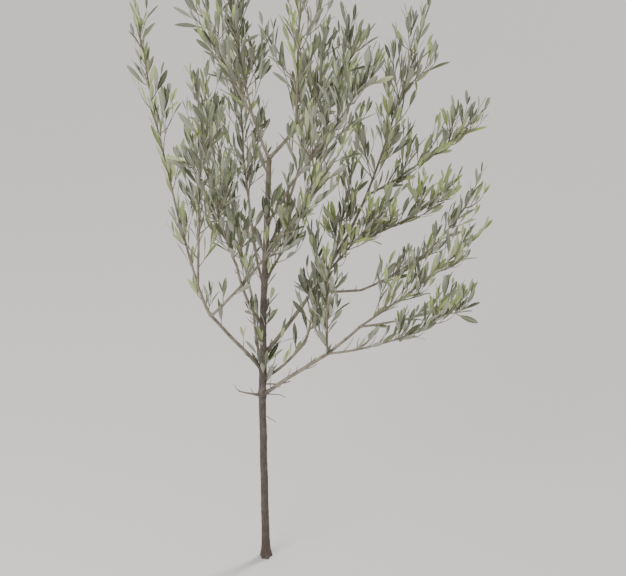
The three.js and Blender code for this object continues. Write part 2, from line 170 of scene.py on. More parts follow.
# Short side shoots: their seeds, the share of the trunk that has none, their gaps and lengths, the
# share that bears leaves, where on them leaves begin, the fresh share, and limbs with bare ones.
SPUR_SEED = 400
SPURS_FROM = 0.44
TRUNK_SPUR_GAP = 0.013
BOUGH_SPUR_GAP = 0.026
SPUR_SIZES = (0.4, 1.2)
LEAFY_SPURS = 0.6
SPUR_LEAVES_FROM = 0.4
SPUR_FRESH = 0.05
LEAFLESS_LIMBS = ("left_stub",)

# Bare shoots and cut stubs: the limb, where on it, the tip and the radius. All have this sweep,
# stray by this share of their length and taper to this share.
CUT_SWEEP = 0.35
CUT_WANDER = 0.15
CUT_TAPER = 0.65
CUT_SHOOTS = (
    ("trunk", 0.424, (0.058, -0.016, 0.438), 0.0018),
    ("trunk", 0.402, (0.047, -0.012, 0.399), 0.0012),
    ("trunk", 0.436, (0.016, -0.030, 0.470), 0.0011),
    ("trunk", 0.352, (0.026, -0.012, 0.340), 0.0009),
    ("right_low", 0.45, (0.112, -0.050, 0.508), 0.0014),
    ("right_low", 0.66, (0.093, -0.060, 0.491), 0.0022),
    ("left_outer", 0.45, (-0.107, -0.066, 0.650), 0.0018),
    ("left_outer", 0.4, (-0.094, -0.056, 0.676), 0.0009),
)

# Clearances from other masses, from limbs and between a mass's leaves, in metres, where along a
# leaf they are tested, and how many steps a line is measured in.
SPACE_MARGIN = 0.001
LIMB_CLEARANCE = 0.004
LEAF_SPACING = 0.004
LEAF_TESTS = (0.3, 0.55, 0.8, 1.0)
SAMPLES = {"trunk": 40, "limb": 16, "twig": 8}


def mix(a, b, t):
    return a + (b - a) * t


def chance(seed, key):
    """A repeatable number from 0 to 1 for a seed and a key."""
    wave = math.sin(seed * HASH_SEED + key * HASH_KEY) * HASH_SCALE
    return wave - math.floor(wave)


def draws(seed, first_key):
    return lambda what: chance(seed, first_key + what)


def about(middle, spread, draw):
    """A value about a middle one, over the whole of a spread."""
    return middle + spread * (draw - 0.5)


def varied(size, spread, draw):
    """A size varied by a draw, over a spread that is a share of it."""
    return size * about(1, spread, draw)


class Line:
    """A limb's centre line. It wanders a little from its course, and not at all at its ends."""

    # The half step of a heading, and how fast and where its wandering reads the noise.
    STEP = 0.001
    WAVES_A_METRE = 11
    ROW = 7.3
    LAYERS = (0.5, 40.5, 80.5)

    def __init__(self, course, wander=0.0, seed=0):
        self.course = course
        self.wander = wander
        self.seed = seed
        self.waves = (course(1) - course(0)).length * self.WAVES_A_METRE
        points = [self.at(i / SAMPLES["limb"]) for i in range(SAMPLES["limb"] + 1)]
        self.length = sum((b - a).length for a, b in zip(points, points[1:]))

    def at(self, t):
        along, row = t * self.waves, self.seed * self.ROW
        swing = Vector([noise.noise(Vector((along, row, layer))) for layer in self.LAYERS])
        return self.course(t) + swing * self.wander * math.sin(math.pi * min(max(t, 0), 1)) ** 2

    def heading(self, t):
        before, after = max(t - self.STEP, 0), min(t + self.STEP, 1)
        return (self.at(after) - self.at(before)).normalized()

    def samples(self, count):
        return np.array([self.at(i / count) for i in range(count + 1)])


def trunk_course(t):
    x = TRUNK_LEAN * t**2 - TRUNK_BOW * math.sin(math.pi * t) ** 2
    return Vector((x, 0, TRUNK_HEIGHT * t))


def trunk_radius(t):
    if t < 0.5:
        return mix(TRUNK_FOOT, TRUNK_MIDDLE, t * 2)
    return mix(TRUNK_MIDDLE, TRUNK_FORK, t * 2 - 1)


def bezier(root, middle, tip):
    return lambda t: root * (1 - t) ** 2 + middle * 2 * t * (1 - t) + tip * t**2


def swept(root, tip, sweep):
    """A course from root to tip, swept outwards before it rises."""
    span = tip - root
    out, rise = (1 + sweep) / 2, (1 - sweep) / 2
    return bezier(root, root + Vector((span.x * out, span.y * out, span.z * rise)), tip)


def across(heading):
    """Two directions square to a heading and to each other."""
    first = heading.cross(SIDE_REFERENCE).normalized()
    return first, heading.cross(first)


def outward_at(heading, turn):
    first, second = across(heading)
    return first * math.cos(turn) + second * math.sin(turn)


def leaned(heading, outward, angle):
    return heading * math.cos(angle) + outward * math.sin(angle)


Limb = namedtuple("Limb", "line radius_at")
Shoot = namedtuple("Shoot", "line root end seed leaf_from kind")
Leaf = namedtuple("Leaf", "root along wide length shade form")

# The kinds of shoot: a stem, its side twigs, finer twigs, spurs without leaves, and CUT_SHOOTS.
STEM, TWIG, TWIGLET, BARE, CUT = range(5)


def start_on(limbs, on, at):
    return limbs[on].line.at(at / TRUNK_HEIGHT if on == "trunk" else at)


def plan_limbs(wander):
    """The trunk and the boughs, each with its line and its radius."""
    limbs = {"trunk": Limb(Line(trunk_course, wander), trunk_radius)}
    for number, (name, bough) in enumerate(BOUGHS.items(), start=1):
        course = swept(start_on(limbs, bough.on, bough.at), Vector(bough.tip), bough.sweep)
        radius_at = lambda t, bough=bough: mix(bough.root, bough.end, t)
        limbs[name] = Limb(Line(course, wander, number), radius_at)
    return limbs


def plan_stems(limbs, wander):
    """The line of each mass's stem."""
    stems = {}
    for number, (name, mass) in enumerate(MASSES.items(), start=len(BOUGHS) + 1):
        course = swept(start_on(limbs, mass.on, mass.at), Vector(mass.tip), mass.sweep)
        stems[name] = Line(course, wander, number)
    return stems


def distances(points, samples):
    """The distance from each point to a line that is held as a row of samples."""
    starts, spans = samples[:-1], np.diff(samples, axis=0)
    offsets = points[:, None, :] - starts[None]
    shares = (offsets * spans).sum(2) / (spans**2).sum(1)
    feet = np.clip(shares, 0, 1)[..., None] * spans
    return np.linalg.norm(offsets - feet, axis=2).min(1)


class Spaces:
    """Tells which points are in a mass's own space: nearest to its stem, and clear of limbs."""

    def __init__(self, limbs, stems):
        self.stems = {name: line.samples(SAMPLES["limb"]) for name, line in stems.items()}
        self.limbs = []
        for name, (line, radius_at) in limbs.items():
            samples = line.samples(SAMPLES["trunk" if name == "trunk" else "limb"])
            self.limbs.append((samples, radius_at(0) + LIMB_CLEARANCE))

    def own(self, name, points):
        points = np.array(points)
        own = distances(points, self.stems[name])
        inside = np.ones(len(points), bool)
        for other, samples in self.stems.items():
            if other != name:
                inside &= distances(points, samples) > own + SPACE_MARGIN
        for samples, clear in self.limbs:
            inside &= distances(points, samples) > clear
        return inside


def twig_starts(seed, stem, count, reach, first=TWIG_FROM, last=TWIG_TO):
    """The start, heading, length and seed of a stem's side twigs. None points down."""
    for k in range(count):
        draw = draws(seed, KEYS_EACH * k)
        t = mix(first, last, (k + TWIG_STAGGER * draw(PLACE)) / count)
        phase = FULL_TURN * chance(seed, PHASE)
        turn = about(GOLDEN_TURN * k + phase, TWIG_TURN_SPREAD, draw(TURN))
        lean = varied(*TWIG_LEAN, draw(LEAN))
        size = varied(reach * (1 - TWIG_TAPER * t), TWIG_SIZE_SPREAD, draw(SIZE))
        heading = stem.heading(t)
        out = leaned(heading, outward_at(heading, math.radians(turn)), math.radians(lean))
        out.z = abs(out.z)
        yield stem.at(t), out, size, seed * SEEDS_EACH + k


def twig_line(root, out, size, wander, seed):
    """A twig's line: out from its root, then turning up."""
    tip = root + out * size * (1 - TWIG_LIFT / 2) + UP * size * TWIG_LIFT / 2
    return Line(bezier(root, root + out * size / 2, tip), wander, seed)


def grow_shoots(name, seed, stem, spaces, sizes):
    """A mass's stem, and the side twigs and finer twigs that keep to the mass's own space."""
    mass = MASSES[name]
    bough_end = BOUGHS[mass.on].end if mass.on in BOUGHS else sizes.stem_root
    root = min(bough_end, sizes.stem_root)
    shoots = [Shoot(stem, root, sizes.stem_end, seed, sizes.leaf_from_stem, STEM)]

    def keep(starts, thickness, kind):
        for start, out, size, twig_seed in starts:
            if start.z < BARE_OUTSIDE.get(name, 0) and start.x * out.x > 0:
                continue
            for share in CUT_BACK:
                line = twig_line(start, out, size * share, sizes.wander, twig_seed)
                points = line.samples(SAMPLES["twig"])[1:]
                if line.length > sizes.leaf_gap and spaces.own(name, points).all():
                    end, first = sizes.twig_end, sizes.leaf_from_twig
                    shoots.append(Shoot(line, thickness, end, twig_seed, first, kind))
                    break

    keep(twig_starts(seed, stem, mass.twigs, mass.reach), sizes.twig_root, TWIG)
    count, reach = mass.twigs + sizes.spurs, mass.reach * sizes.spur_reach
    keep(twig_starts(seed + FINER_SEED, stem, count, reach), sizes.twiglet_root, TWIGLET)
    for twig in [shoot for shoot in shoots if shoot.kind == TWIG]:
        reach = twig.line.length * sizes.finer
        keep(twig_starts(twig.seed, twig.line, sizes.twiglets, reach), sizes.twiglet_root, TWIGLET)
    return shoots


def grow_spurs(limbs, sizes):
    """The short side shoots on the boughs and on the upper trunk. Some of them bear leaves."""
    shoots = []
    for number, (name, limb) in enumerate(limbs.items()):
        first, gap = TWIG_FROM, BOUGH_SPUR_GAP
        if name == "trunk":
            first, gap = SPURS_FROM, TRUNK_SPUR_GAP
        count = round((1 - first) * limb.line.length / gap)
        starts = twig_starts(SPUR_SEED + number, limb.line, count, sizes.spur_length, first, 1)
        for start, out, size, seed in starts:
            size *= mix(*SPUR_SIZES, chance(seed, SIZE))
            line = twig_line(start, out, size, sizes.wander, seed)
            leafy = size > sizes.leaf_gap and chance(seed, SHADE) < LEAFY_SPURS
            kind = TWIGLET if leafy and name not in LEAFLESS_LIMBS else BARE
            root, end = sizes.twiglet_root, sizes.twig_end
            shoots.append(Shoot(line, root, end, seed, SPUR_LEAVES_FROM, kind))
    for number, (on, at, tip, radius) in enumerate(CUT_SHOOTS):
        root, tip = start_on(limbs, on, at), Vector(tip)
        line = Line(swept(root, tip, CUT_SWEEP), (tip - root).length * CUT_WANDER, number)
        shoots.append(Shoot(line, radius, radius * CUT_TAPER, number, 1, CUT))
    return shoots


def leaves_of(shoot, sizes, shade):
    """The leaves of a shoot, in opposite pairs, without those that have fallen."""
    line = shoot.line
    last = 1 - sizes.leaf_below_tip / line.length
    pairs = max(1, int((last - shoot.leaf_from) * line.length / sizes.leaf_gap))
    phase = FULL_TURN * chance(shoot.seed, LEAF_KEYS + PHASE)
    found = []
    for j in range(pairs + 1):
        t = mix(shoot.leaf_from, last, j / pairs)
        heading = line.heading(t)
        shrunk = 1 - LEAF_TIP_SHRINK * t**LEAF_TIP_SHRINK_POWER
        for side in (0, 1):
            draw = draws(shoot.seed, LEAF_KEYS + KEYS_EACH * (2 * j + side))
            if draw(FALL) < mix(*FALLEN, t):
                continue
            even = QUARTER_TURN * (j % 2) + HALF_TURN * side + phase
            turn = math.radians(about(even, LEAF_TURN_SPREAD, draw(TURN)))
            open_out = varied(mix(*LEAF_OPEN, t), LEAF_OPEN_SPREAD, draw(LEAN))
            outward = outward_at(heading, turn)
            along = leaned(heading, outward, math.radians(open_out)) + UP * LEAF_LIFT
            along.normalize()
            wide = heading.cross(outward)
            wide = (wide - along * wide.dot(along)).normalized()
            roll = math.radians(about(0, LEAF_ROLL_SPREAD, draw(ROLL)))
            wide.rotate(Matrix.Rotation(roll, 3, along))
            length = varied(sizes.leaf_length * shrunk, LEAF_LENGTH_SPREAD, draw(SIZE))
            form = int(draw(FORM) * LEAF_FORMS)
            root = line.at(t) + outward * mix(shoot.root, shoot.end, t) * LEAF_SEAT
            young = t > YOUNG_FROM and draw(SHADE) < YOUNG_SHARE
            own_shade = min(shade + 1, FRESH) if young else shade
            found.append(Leaf(root, along, wide, length, own_shade, form))
    return found


def kept_leaves(shoots, sizes, fresh_share, fits):
    """The leaves of some shoots that fit where they are and keep clear of each other."""
    taken = np.empty((0, 3))
    kept = []
    for shoot in shoots:
        if shoot.kind in (BARE, CUT):
            continue
        fresh = chance(shoot.seed, SHADE) < fresh_share
        shade = FRESH if fresh else int(chance(shoot.seed, SHADE + KEYS_EACH) * FRESH)
        for leaf in leaves_of(shoot, sizes, shade):
            points = np.array([leaf.root + leaf.along * leaf.length * at for at in LEAF_TESTS])
            gaps = np.linalg.norm(taken[:, None] - points[None], axis=2)
            clear = not gaps.size or gaps.min() >= LEAF_SPACING
            if clear and fits(points):
                taken = np.vstack([taken, points])
                kept.append(leaf)
    return kept


def bend_to(verts, line, radius_at, relief):
    """Bends an upright prism along a line and draws it to the radius at each height."""
    for vert in verts:
        t = vert.co.z + 0.5
        first, second = across(line.heading(t))
        around = math.hypot(vert.co.x, vert.co.y)
        side = (first * vert.co.x + second * vert.co.y) / around if around else Vector()
        middle = line.at(t)
        place = middle + side * around * radius_at(t)
        if relief and around:
            place += side * relief(place, side, t)
        vert.co = place


def add_limb(bm, line, radius_at, sides, rings, relief=None):
    """Adds a tapered limb: a closed prism, cut into rings and bent along its line."""
    before = len(bm.verts)
    made = bmesh.ops.create_cone(bm, cap_ends=True, segments=sides, radius1=1, radius2=1, depth=1)
    rails = [
        edge
        for vert in made["verts"] if vert.co.z < 0
        for edge in vert.link_edges if edge.other_vert(vert).co.z > 0
    ]
    bmesh.ops.subdivide_edges(bm, edges=rails, cuts=rings - 1)
    bm.verts.ensure_lookup_table()
    verts = bm.verts[before:]
    for face in {face for vert in verts for face in vert.link_faces}:
        face.smooth = len(face.verts) == 4
    bend_to(verts, line, radius_at, relief)
    return verts


def place_object(name, data):
    made = bpy.data.objects.new(name, data)
    bpy.context.scene.collection.objects.link(made)
    return made


def finish_mesh(bm, name):
    mesh = bpy.data.meshes.new(name)
    bm.to_mesh(mesh)
    bm.free()
    return mesh


def add_object(bm, name, materials):
    """Turns a bmesh into an object of the scene."""
    mesh = finish_mesh(bm, name)
    for material in materials:
        mesh.materials.append(material)
    return place_object(name, mesh)


def finish_piece(bm, name, materials, slot, *nodes):
    """Turns a bmesh into a piece that rides on the tree and stands for some of its nodes."""
    piece = add_object(bm, name, materials)
    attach(piece, BODY)
    if nodes:
        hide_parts(*nodes)


class Value:
    """A shader socket that plain expressions can add to, take from and multiply."""

    def __init__(self, graph, socket):
        self.graph = graph
        self.socket = socket

    def math(self, operation, other):
        inputs = {0: self, 1: other}
        return self.graph.output("ShaderNodeMath", 0, inputs, operation=operation)

    def __add__(self, other):
        return self.math("ADD", other)

    def __sub__(self, other):
        return self.math("SUBTRACT", other)

    def __mul__(self, other):
        return self.math("MULTIPLY", other)


class Graph:
    """The node tree of one material, with its Principled shader."""

    def __init__(self, name):
        self.material = bpy.data.materials.new(name)
        self.material.use_nodes = True
        self.nodes = self.material.node_tree.nodes
        self.links = self.material.node_tree.links
        self.shader = self.nodes["Principled BSDF"]

    def feed(self, socket, value):
        if isinstance(value, Value):
            self.links.new(value.socket, socket)
        elif isinstance(value, (int, float)) or len(value) == len(socket.default_value):
            socket.default_value = value
        else:
            socket.default_value = (*value, 1)

    def node(self, kind, inputs, **settings):
        """Adds a node, sets its settings and feeds its sockets."""
        made = self.nodes.new(kind)
        for name, value in settings.items():
            setattr(made, name, value)
        for name, value in inputs.items():
            self.feed(made.inputs[name], value)
        return made

    def output(self, kind, name, inputs, **settings):
        """Adds a node and gives one of its outputs."""
        return Value(self, self.node(kind, inputs, **settings).outputs[name])

    def place(self, scale=(1, 1, 1)):
        """Object coordinates, drawn out by a scale on each axis."""
        place = self.output("ShaderNodeTexCoord", "Object", {})
        return self.output("ShaderNodeMapping", "Vector", {"Vector": place, "Scale": scale})

    def height(self, place):
        return self.output("ShaderNodeSeparateXYZ", "Z", {"Vector": place})

    def noise(self, place, scale, detail, roughness):
        inputs = {"Vector": place, "Scale": scale, "Detail": detail, "Roughness": roughness}
        return self.output("ShaderNodeTexNoise", "Fac", inputs)

    def ramp(self, value, *stops):
        """Turns a value into a share. Each of the two stops is a value and its share."""
        made = self.node("ShaderNodeValToRGB", {"Fac": value})
        for stop, (place, share) in zip(made.color_ramp.elements, stops):
            stop.position = place
            stop.color = (share, share, share, 1)
        return Value(self, made.outputs["Color"])

    def blend(self, share, first, second):
        """Lays a share of the second colour over the first, by the Mix node's colour sockets."""
        return self.output("ShaderNodeMix", 2, {0: share, 6: first, 7: second}, data_type="RGBA")

    def bump(self, height, distance, strength):
        inputs = {"Height": height, "Distance": distance, "Strength": strength}
        return self.output("ShaderNodeBump", "Normal", inputs)

    def finish(self, **sockets):
        for name, value in sockets.items():
            self.feed(self.shader.inputs[name.replace("_", " ").title()], value)
        return self.material


# How old bark's patterns are drawn out along the trunk, and a scale that leaves height out.
FURROW_DRAW = (1, 1, 0.14)
CRACK_DRAW = (1, 1, 0.1)
DOT_DRAW = (1, 1, 0.7)
LEVEL = (1, 1, 0)

# How strongly each layer of colour covers what is under it.
GRAIN_COVER = 0.35
PALE_COVER = 0.38
DOT_COVER = 0.28
CRACK_COVER = 0.65
# The foot's layer is partly a soil stain and partly painted shade.
FOOT_STAIN_AND_SHADE_COVER = 0.6
TRUNK_COVER = 0.85


def young_bark_colour(graph, place, colours):
    """The colour of young bark, brown-grey clouds under a pale grain, and that grain."""
    clouds = graph.noise(place, scale=55, detail=4, roughness=0.55)
    grain = graph.noise(place, scale=900, detail=3, roughness=0.6)
    clouded = graph.ramp(clouds, (0.36, 0), (0.64, 1))
    base = graph.blend(clouded, colours.young_bark_dark, colours.young_bark)
    grained = graph.ramp(grain, (0.45, 0), (0.7, 1)) * GRAIN_COVER
    return graph.blend(grained, base, colours.bark_pale), grain


def bark_material(colours):
    """Old bark: furrows, cracks, pale patches, corky dots, a foot darkened partly by soil stain
    and partly by painted shade, and a young top.
    """
    graph = Graph("Olive bark")
    place = graph.place()
    furrows = graph.noise(graph.place(FURROW_DRAW), scale=620, detail=6, roughness=0.6)
    cracks = graph.noise(graph.place(CRACK_DRAW), scale=900, detail=8, roughness=0.68)
    cracks = graph.ramp(cracks, (0.36, 1), (0.46, 0))
    patches = graph.noise(place, scale=38, detail=5, roughness=0.6)
    cells = {"Vector": graph.place(DOT_DRAW), "Scale": 210}
    dots = graph.output("ShaderNodeTexVoronoi", "Distance", cells, feature="F1")
    dots = graph.ramp(dots, (0.12, 1), (0.3, 0))
    ridges = graph.ramp(furrows, (0.38, 0), (0.62, 1))
    base = graph.blend(ridges, colours.bark_dark, colours.bark)
    patchy = graph.ramp(patches, (0.5, 0), (0.72, 1)) * PALE_COVER
    pale = graph.blend(patchy, base, colours.bark_pale)
    dotted = graph.blend(dots * DOT_COVER, pale, colours.bark_pale)
    cracked = graph.blend(cracks * CRACK_COVER, dotted, colours.bark_dark)
    # The foot's soil stain and painted shade fade out above it, and young bark fades in towards
    # the fork.
    height = graph.height(place)
    foot = graph.ramp(height * 2.2 + patches * 0.3, (0.16, 1), (0.62, 0))
    stained_and_shaded = graph.blend(foot * FOOT_STAIN_AND_SHADE_COVER, cracked, colours.bark_foot)
    young, grain = young_bark_colour(graph, place, colours)
    top = graph.ramp(height + patches * 0.2, (0.66, 0), (0.98, 1))
    colour = graph.blend(top, stained_and_shaded, young)
    rough = furrows * 0.16 + 0.78
    relief = furrows * 0.6 + dots * 0.3 - cracks * 0.5 + grain * 0.15
    bump = graph.bump(relief, distance=0.0007, strength=0.9)
    return graph.finish(base_color=colour, roughness=rough, normal=bump)


def young_bark_material(colours):
    """Smooth young bark, as brown as old bark near the trunk."""
    graph = Graph("Olive young bark")
    place = graph.place()
    young, grain = young_bark_colour(graph, place, colours)
    # The brown of old bark fades away from the trunk and towards its top.
    level = {"Vector": graph.place(LEVEL)}
    away = graph.output("ShaderNodeVectorMath", "Value", level, operation="LENGTH")
    low = graph.ramp(graph.height(place), (0.66, 1), (0.9, 0))
    near = graph.ramp(away * 20.0, (0.25, 1), (0.8, 0)) * low
    old = graph.blend(graph.ramp(grain, (0.4, 0), (0.6, 1)), colours.bark_dark, colours.bark)
    colour = graph.blend(near * TRUNK_COVER, young, old)
    rough = grain * 0.2 + 0.62
    bump = graph.bump(grain, distance=0.0003, strength=0.5)
    return graph.finish(base_color=colour, roughness=rough, normal=bump)


def leaf_material(name, colours):
    """One plain shade of leaf, satin above or felted below."""
    roughness, sheen = LEAF_FINISHES[name]
    graph = Graph(f"Olive {name.replace('_', ' ')}")
    colour = tuple(getattr(colours, name))
    return graph.finish(base_color=colour, roughness=roughness, sheen_weight=sheen)


# The shades of a leaf's upper side, the last for fresh sprays, then its underside and its midrib.
SHADES = ("leaf_old", "leaf_grey", "leaf_mid", "leaf_light", "leaf_fresh")
FRESH = len(SHADES) - 1
UNDER, UNDER_FRESH, MIDRIB = range(len(SHADES), len(SHADES) + 3)

# The roughness and the sheen of each of them.
LEAF_FINISHES = {
    **{name: (0.36, 0.0) for name in SHADES},
    "under": (0.75, 0.15),
    "under_fresh": (0.7, 0.1),
    "midrib": (0.55, 0.0),
}

# A leaf of unit length: its forms, its rows and columns of faces, its stalk, half widths of stalk
# and midrib, and how far beyond the middle its blade is widest and how full it is.
LEAF_FORMS = 4
LEAF_ROWS = 7
LEAF_COLUMNS = 3
LEAF_STALK = 0.1
STALK_HALF = 0.011
STALK_DEEPER = 1.6
MIDRIB_HALF = 0.008
BLADE_SKEW = 1.12
BLADE_FULL = 0.7

# How much a leaf's rows crowd to its ends, where its inner points and its tip are, and how near
# points are joined.
ROW_CROWDING = 0.5
INNER_WITHIN = 0.3
TIP_FROM = 0.99
WELD = 1e-5

# How far a leaf is folded, arched, swayed sideways and twisted, from the least to the most.
FOLD = (0.12, 0.5)
ARCH = (-0.16, 0.1)
SWAY = (-0.07, 0.07)
TWIST = (-0.5, 0.5)


def blade_half_width(share):
    """A leaf's half width as a share of its most: a narrow foot, a full blade, a blunt tip."""
    blade = max(share - LEAF_STALK, 0) / (1 - LEAF_STALK)
    return max(math.sin(math.pi * blade**BLADE_SKEW), 0) ** BLADE_FULL


def shape_leaf(bm, form, sizes):
    """Shapes a grid to a leaf's upper side along +X. Returns the layer of its inner points."""
    spans = enumerate((FOLD, ARCH, SWAY, TWIST))
    fold, arch, sway, twist = (mix(*span, chance(form, key)) for key, span in spans)
    inner = bm.verts.layers.int.new("inner")
    for vert in bm.verts:
        even = vert.co.x + 0.5
        share = mix(even, 0.5 - 0.5 * math.cos(math.pi * even), ROW_CROWDING)
        reach = max(blade_half_width(share) * sizes.leaf_width / sizes.leaf_length / 2, STALK_HALF)
        narrow = min(reach / 2, MIDRIB_HALF)
        vert[inner] = abs(vert.co.y) < INNER_WITHIN
        out = narrow if vert[inner] else reach
        offset = Vector((0, math.copysign(out, vert.co.y), (out - narrow) * fold))
        if even > TIP_FROM:
            offset = Vector()
            vert[inner] = 0
        offset.rotate(Matrix.Rotation(twist * share, 3, "X"))
        vert.co = Vector((share, sway * share**2, arch * share**2)) + offset
    return inner


def leaf_template(form, shade, sizes):
    """One closed leaf of unit length, from the origin along +X."""
    bm = bmesh.new()
    bmesh.ops.create_grid(bm, x_segments=LEAF_ROWS, y_segments=LEAF_COLUMNS, size=0.5)
    inner = shape_leaf(bm, form, sizes)
    thick = sizes.leaf_thick / sizes.leaf_length
    upper = bm.faces[:]
    copy = bmesh.ops.duplicate(bm, geom=bm.verts[:] + bm.edges[:] + upper)["geom"]
    under = [item for item in copy if isinstance(item, bmesh.types.BMFace)]
    bmesh.ops.reverse_faces(bm, faces=under)
    for face in under:
        face.material_index = UNDER_FRESH if shade == FRESH else UNDER
    for face in upper:
        middle = all(vert[inner] or vert.co.x > TIP_FROM for vert in face.verts)
        face.material_index = MIDRIB if middle else shade
    for vert in {vert for face in under for vert in face.verts if vert[inner]}:
        vert.co.z -= thick * (STALK_DEEPER if vert.co.x < LEAF_STALK else 1)
    for face in bm.faces:
        face.smooth = True
        if face.calc_center_median().x < LEAF_STALK:
            face.material_index = MIDRIB
    bmesh.ops.remove_doubles(bm, verts=bm.verts, dist=WELD)
    bmesh.ops.holes_fill(bm, edges=[edge for edge in bm.edges if edge.is_boundary])
    for edge in bm.edges:
        felted = {face.material_index in (UNDER, UNDER_FRESH) for face in edge.link_faces}
        edge.smooth = len(felted) == 1
    bm.verts.layers.int.remove(inner)
    return finish_mesh(bm, f"leaf_{form}_{shade}")


def stamp(bm, template, leaf):
    """Adds a copy of a leaf template, turned and scaled to its place."""
    above = leaf.along.cross(leaf.wide)
    turn = Matrix((leaf.along, leaf.wide, above)).transposed().to_4x4()
    copy = template.copy()
    copy.transform(Matrix.Translation(leaf.root) @ turn @ Matrix.Scale(leaf.length, 4))
    bm.from_mesh(copy)
    bpy.data.meshes.remove(copy)


def measure(description, default, unit="LENGTH"):
    return FloatProperty(description=description, default=default, unit=unit)


def tint(description, default):
    colour = {"subtype": "COLOR", "size": 3, "min": 0, "max": 1}
    return FloatVectorProperty(description=description, default=default, **colour)


class OliveLimbs(bpy.types.PropertyGroup):
    """Sizes of the trunk and boughs."""

    relief: measure("Depth of the furrows in the trunk's bark", 0.00055)
    bough_relief: measure("Depth of the lumps on the boughs", 0.0002)
    wander: measure("How far a limb strays from its course", 0.0025)
    collar: measure("Swelling of the trunk where a bough leaves it", 0.0022)
    ring: measure("Height of one ring of the trunk's mesh", 0.0017)


class OliveShoots(bpy.types.PropertyGroup):
    """Sizes of the stems, twigs and leaves."""

    stem_root: measure("Radius of a stem at its root", 0.0026)
    stem_end: measure("Radius of a stem at its tip", 0.0008)
    twig_root: measure("Radius of a side twig at its root", 0.0014)
    twiglet_root: measure("Radius of a finer twig at its root", 0.001)
    twig_end: measure("Radius of a twig at its tip", 0.0006)
    wander: measure("How far a shoot strays from its course", 0.004)
    finer: measure("Length of finer twigs as a share of their twig's", 0.6, "NONE")
    spurs: IntProperty(description="A stem's finer twigs beyond its count", default=7)
    spur_reach: measure("Length of a stem's finer twigs as a share of reach", 0.85, "NONE")
    twiglets: IntProperty(description="Finer twigs on each side twig", default=4)
    spur_length: measure("Length of a short shoot on a limb", 0.05)
    leaf_length: measure("Length of a full leaf with its stalk", 0.048)
    leaf_width: measure("Width of a full leaf's blade", 0.0099)
    leaf_thick: measure("Thickness of a leaf at its midrib", 0.0006)
    leaf_gap: measure("Distance between two pairs of leaves", 0.0225)
    leaf_from_stem: measure("Share of a stem where its leaves begin", 0.08, "NONE")
    leaf_from_twig: measure("Share of a twig where its leaves begin", 0.3, "NONE")
    leaf_below_tip: measure("Distance from a shoot's tip to its last pair", 0.001)


class OliveColours(bpy.types.PropertyGroup):
    """Colours of the bark and the leaves."""

    bark: tint("Ridges of the old bark", (0.108, 0.090, 0.077))
    bark_dark: tint("Furrows of the old bark", (0.050, 0.039, 0.033))
    bark_pale: tint("Pale patches and dots", (0.262, 0.238, 0.205))
    # The bark low on the trunk is darker: partly a soil stain, partly painted shade.
    bark_foot: tint("Bark low on the trunk", (0.068, 0.042, 0.030))
    young_bark: tint("Bark of boughs and twigs", (0.240, 0.208, 0.160))
    young_bark_dark: tint("Clouds of young bark", (0.142, 0.118, 0.085))
    leaf_old: tint("Upper side of an old leaf", (0.073, 0.086, 0.052))
    leaf_grey: tint("Upper side of a grey-green leaf", (0.126, 0.140, 0.100))
    leaf_mid: tint("Upper side of a grown leaf", (0.113, 0.132, 0.076))
    leaf_light: tint("Upper side of a pale leaf", (0.190, 0.222, 0.124))
    leaf_fresh: tint("Upper side of a young leaf", (0.322, 0.400, 0.142))
    under: tint("Silvery underside of a leaf", (0.265, 0.272, 0.210))
    under_fresh: tint("Underside of a young leaf", (0.370, 0.400, 0.225))
    midrib: tint("Midrib and stalk of a leaf", (0.320, 0.345, 0.170))


class OliveStage(bpy.types.PropertyGroup):
    """Floor, light and camera."""

    floor: tint("Colour of the plain floor", (0.56, 0.552, 0.54))
    sky: tint("Even light from all round", (0.88, 0.88, 0.88))
    sky_strength: measure("Strength of the even light", 0.85, "NONE")
    key_strength: measure("Strength of the main light, from behind", 3.0, "NONE")
    key_spread: measure("How wide the main light is", math.radians(16), "ROTATION")
    fill_power: measure("Power of the light in front", 80, "POWER")
    eye_height: measure("Height of the camera", 1.45)
    eye_away: measure("How far the camera stands in front", 2.2)
    eye_side: measure("How far the camera stands to the side", 0.1055)
    eye_pitch: measure("How far the camera looks down", math.radians(20.2), "ROTATION")
    lens: measure("Focal length", 65.73, "CAMERA")


class OliveSettings(bpy.types.PropertyGroup):
    """All the settings of the tree."""

    limbs: PointerProperty(type=OliveLimbs, description="Trunk and boughs")
    shoots: PointerProperty(type=OliveShoots, description="Twigs and leaves")
    colours: PointerProperty(type=OliveColours, description="Bark and leaf colours")
    stage: PointerProperty(type=OliveStage, description="Floor, light and camera")


# The trunk's end is rounded off over this share of its length, to this depth.
TOP_ROUNDING = 0.009
TOP_ROUND_DEPTH = 0.9

# Sets of lobes on the root flare: how far they stand out, how many they are and their turn.
ROOT_LOBES = ((0.45, 5, 0.8), (0.25, 3, 0))

# Lumps are layers of noise, each with a scale and a strength. Relief is full above RELIEF_FROM.
TRUNK_LUMPS = ((42, 0.9), (110, 0.45))
BOUGH_LUMPS = ((130, 1), (380, 0.5))
FURROW_SCALE = (420, 420, 60)
FURROW_STRENGTH = 0.7
GRAIN_SCALE = 900
GRAIN_STRENGTH = 0.35
RELIEF_FROM = 0.004

# A collar's rise above its bough's start, its height, and its strength away from the bough.
COLLAR_RISE = 0.004
COLLAR_FADE = 0.011
COLLAR_ROUND = 0.25

# Swellings at old and new pairs of leaves, and the round tip of a shoot.
OLD_PAIR_GAP = 0.027
OLD_PAIR_NARROW = 24
OLD_PAIR_STRENGTH = 1.3
PAIR_NARROW = 12
PAIR_STRENGTH = 0.16
TWIG_TIP_ROUND = 0.5
TWIG_TIP_NARROW = 40

# The swelling at a bough's root, on the trunk's side and at a limb's end: how high, how far along
# and how long, in metres.
SIDE_SWELL = (0.0014, 0.007, 0.009)
END_SWELL = (0.0011, 0, 0.008)


def layered(place, layers):
    return sum(noise.noise(place * scale) * strength for scale, strength in layers)


